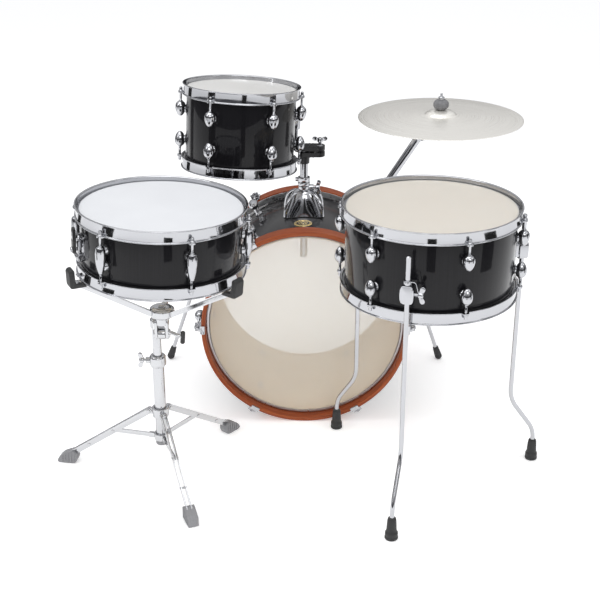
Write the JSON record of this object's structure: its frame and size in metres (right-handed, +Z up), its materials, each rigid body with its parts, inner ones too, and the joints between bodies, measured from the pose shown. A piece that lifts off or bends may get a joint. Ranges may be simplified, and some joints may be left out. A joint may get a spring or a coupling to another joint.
{
  "type": "acoustic drum kit",
  "caption": "Compact acoustic drum kit: bass drum with rack tom and cymbal mounted on it, floor tom on bent legs, and snare drum on a folding stand.",
  "frame": {"origin": "on the floor under the middle of the whole kit's box", "axes": "+Z up, the player's side is -Y, the floor tom is on +X"},
  "size_m": [1.1052, 1.0134, 0.8119],
  "materials": {
    "black_lacquer": "gloss black lacquer",
    "stained_wood": "satin red-brown stain",
    "clear_head": "translucent polyester film",
    "coated_head": "coated white film",
    "brass_badge": "polished",
    "cymbal_bronze": "lathed and brushed",
    "felt": "pressed wool",
    "black_plastic": "moulded",
    "screw_steel": "plated",
    "stand_chrome": "satin chrome",
    "chrome": "mirror chrome",
    "foot_rubber": "moulded rubber",
    "stand_rubber": "ribbed grey rubber"
  },
  "bodies": {
    "root": {"bass_shell": "black_lacquer", "bass_heads": "clear_head", "bass_hoops": "stained_wood", "bass_lugs": "chrome", "bass_lug_screws": "screw_steel", "bass_claws": "chrome", "bass_tension_rods": "chrome", "bass_badge": "brass_badge", "tom_holder_base": "chrome", "cymbal_holder_base": "chrome", "spur_brackets": "chrome", "floor_tom_shell": "black_lacquer", "floor_tom_heads": "clear_head", "floor_tom_hoops": "chrome", "floor_tom_lugs": "chrome", "floor_tom_tension_rods": "chrome", "floor_leg_brackets": "chrome", "stand_base_tube": "stand_chrome"},
    "rack_tom": {"l_rod": "chrome", "tom_shell": "black_lacquer", "tom_heads": "clear_head", "tom_hoops": "chrome", "tom_lugs": "chrome", "tom_tension_rods": "chrome", "tom_bracket": "chrome"},
    "basket": {"basket_hub": "stand_chrome", "basket_arms": "stand_chrome"},
    "snare": {"snare_shell": "black_lacquer", "snare_batter_head": "coated_head", "snare_bottom_head": "clear_head", "snare_hoops": "chrome", "snare_lugs": "chrome", "snare_tension_rods": "chrome", "snare_strainer": "chrome"},
    "spur_left": {"spur_left": "chrome"},
    "spur_right": {"spur_right": "chrome"},
    "tom_post": {"tom_post": "chrome"},
    "post_wing_bolt": {"post_wing_bolt": "chrome"},
    "ball_clamp": {"ball_clamp": "black_plastic"},
    "cymbal_arm": {"cymbal_arm": "chrome"},
    "arm_wing_bolt": {"arm_wing_bolt": "chrome"},
    "cymbal_tilter": {"cymbal_tilter": "chrome"},
    "cymbal_felts": {"cymbal_felts": "felt"},
    "cymbal": {"cymbal": "cymbal_bronze"},
    "cymbal_nut": {"cymbal_nut": "chrome"},
    "floor_leg_front": {"floor_leg_front": "chrome"},
    "floor_leg_right": {"floor_leg_right": "chrome"},
    "floor_leg_left": {"floor_leg_left": "chrome"},
    "strainer_lever": {"strainer_lever": "black_plastic"},
    "snare_wires": {"snare_wires": "chrome"},
    "stand_post": {"stand_post": "stand_chrome"},
    "stand_wing_bolt": {"stand_wing_bolt": "stand_chrome"},
    "tripod_collar": {"tripod_collar": "stand_chrome"},
    "stand_leg_1": {"stand_leg_1": "stand_chrome"},
    "stand_leg_2": {"stand_leg_2": "stand_chrome"},
    "stand_leg_3": {"stand_leg_3": "stand_chrome"},
    "stand_brace_1": {"stand_brace_1": "stand_chrome"},
    "stand_brace_2": {"stand_brace_2": "stand_chrome"},
    "stand_brace_3": {"stand_brace_3": "stand_chrome"}
  },
  "joints": [
    {"name": "spur_left_fold", "type": "hinge", "parent": "root", "child": "spur_left", "pos_m": [-0.25204, 0.28174, 0.29], "axis": [-0.9474, 0, 0.3201], "range_deg": [0, 90]},
    {"name": "spur_right_fold", "type": "hinge", "parent": "root", "child": "spur_right", "pos_m": [0.28396, 0.28174, 0.29], "axis": [0.9474, 0, 0.3201], "range_deg": [-90, 0]},
    {"name": "holder_height", "type": "slide", "parent": "root", "child": "tom_post", "axis": [0, 0, 1], "range_m": [0, 0.06]},
    {"name": "post_wing_turn", "type": "hinge", "parent": "root", "child": "post_wing_bolt", "pos_m": [0.02996, 0.18474, 0.538], "axis": [1, 0, 0], "continuous": true},
    {"name": "tom_swivel", "type": "hinge", "parent": "tom_post", "child": "ball_clamp", "pos_m": [0.01296, 0.18474, 0.605], "axis": [0, 0, 1], "range_deg": [-20, 20]},
    {"name": "tom_tilt", "type": "hinge", "parent": "ball_clamp", "child": "rack_tom", "pos_m": [0.01296, 0.18474, 0.63], "axis": [0.9399, 0.3328, -0.0765], "range_deg": [-12, 12]},
    {"name": "cymbal_arm_slide", "type": "slide", "parent": "root", "child": "cymbal_arm", "axis": [0.5329, 0, 0.8462], "range_m": [-0.04, 0.08]},
    {"name": "arm_wing_turn", "type": "hinge", "parent": "root", "child": "arm_wing_bolt", "pos_m": [0.18221, 0.28574, 0.45415], "axis": [0.8462, 0, -0.5329], "continuous": true},
    {"name": "cymbal_tilt", "type": "hinge", "parent": "cymbal_arm", "child": "cymbal_tilter", "pos_m": [0.29838, 0.28574, 0.63862], "axis": [0, 1, 0], "range_deg": [-20, 25]},
    {"name": "cymbal_turn", "type": "hinge", "parent": "cymbal_tilter", "child": "cymbal_felts", "pos_m": [0.34896, 0.30374, 0.7], "axis": [0, 0, 1], "continuous": true},
    {"name": "cymbal_rock", "type": "hinge", "parent": "cymbal_felts", "child": "cymbal", "pos_m": [0.34896, 0.30374, 0.698], "axis": [0, 1, 0], "range_deg": [-4, 4]},
    {"name": "cymbal_nut_turn", "type": "hinge", "parent": "cymbal_tilter", "child": "cymbal_nut", "pos_m": [0.34896, 0.30374, 0.725], "axis": [0, 0, 1], "continuous": true},
    {"name": "floor_leg_front_slide", "type": "slide", "parent": "root", "child": "floor_leg_front", "axis": [0, 0, 1], "range_m": [0, 0.12]},
    {"name": "floor_leg_right_slide", "type": "slide", "parent": "root", "child": "floor_leg_right", "axis": [0, 0, 1], "range_m": [0, 0.12]},
    {"name": "floor_leg_left_slide", "type": "slide", "parent": "root", "child": "floor_leg_left", "axis": [0, 0, 1], "range_m": [0, 0.12]},
    {"name": "stand_height", "type": "slide", "parent": "root", "child": "stand_post", "axis": [0, 0, 1], "range_m": [0, 0.08]},
    {"name": "stand_wing_turn", "type": "hinge", "parent": "root", "child": "stand_wing_bolt", "pos_m": [-0.32404, -0.22526, 0.277], "axis": [1, 0, 0], "continuous": true},
    {"name": "basket_tilt", "type": "hinge", "parent": "stand_post", "child": "basket", "pos_m": [-0.28629, -0.28026, 0.3673], "axis": [1, 0, 0], "range_deg": [-12, 12]},
    {"name": "snare_lift", "type": "slide", "parent": "basket", "child": "snare", "axis": [0.0454, 0, 0.999], "range_m": [0, 0.12]},
    {"name": "strainer_throw", "type": "hinge", "parent": "snare", "child": "strainer_lever", "pos_m": [-0.43817, -0.35565, 0.58692], "axis": [-0.9054, -0.4226, 0.0411], "range_deg": [0, 60]},
    {"name": "snare_wire_drop", "type": "slide", "parent": "snare", "child": "snare_wires", "axis": [-0.0454, 0, -0.999], "range_m": [0, 0.003]},
    {"name": "tripod_slide", "type": "slide", "parent": "root", "child": "tripod_collar", "axis": [0, 0, 1], "range_m": [0, 0.1]},
    {"name": "leg_1_fold", "type": "hinge", "parent": "tripod_collar", "child": "stand_leg_1", "pos_m": [-0.29672, -0.24953, 0.15], "axis": [0.9336, 0.3584, 0], "range_deg": [0, 28.26]},
    {"name": "brace_1_fold", "type": "hinge", "parent": "root", "child": "stand_brace_1", "pos_m": [-0.29672, -0.24953, 0.088], "axis": [0.9336, 0.3584, 0], "range_deg": [-52.98, 0]},
    {"name": "leg_2_fold", "type": "hinge", "parent": "tripod_collar", "child": "stand_leg_2", "pos_m": [-0.28968, -0.20505, 0.15], "axis": [-0.7771, 0.6293, 0], "range_deg": [0, 28.26]},
    {"name": "brace_2_fold", "type": "hinge", "parent": "root", "child": "stand_brace_2", "pos_m": [-0.28968, -0.20505, 0.088], "axis": [-0.7771, 0.6293, 0], "range_deg": [-52.98, 0]},
    {"name": "leg_3_fold", "type": "hinge", "parent": "tripod_collar", "child": "stand_leg_3", "pos_m": [-0.33172, -0.22119, 0.15], "axis": [-0.1564, -0.9877, 0], "range_deg": [0, 28.26]},
    {"name": "brace_3_fold", "type": "hinge", "parent": "root", "child": "stand_brace_3", "pos_m": [-0.33172, -0.22119, 0.088], "axis": [-0.1564, -0.9877, 0], "range_deg": [-52.98, 0]}
  ],
  "couplings": [
    {"joint": "snare_wire_drop", "follows": "strainer_throw", "m_per_rad": 0.002865},
    {"joint": "leg_1_fold", "follows": "tripod_slide", "rad_per_m": 4.8455},
    {"joint": "brace_1_fold", "follows": "tripod_slide", "rad_per_m": -9.1591},
    {"joint": "leg_2_fold", "follows": "tripod_slide", "rad_per_m": 4.8455},
    {"joint": "brace_2_fold", "follows": "tripod_slide", "rad_per_m": -9.1591},
    {"joint": "leg_3_fold", "follows": "tripod_slide", "rad_per_m": 4.8455},
    {"joint": "brace_3_fold", "follows": "tripod_slide", "rad_per_m": -9.1591}
  ]
}
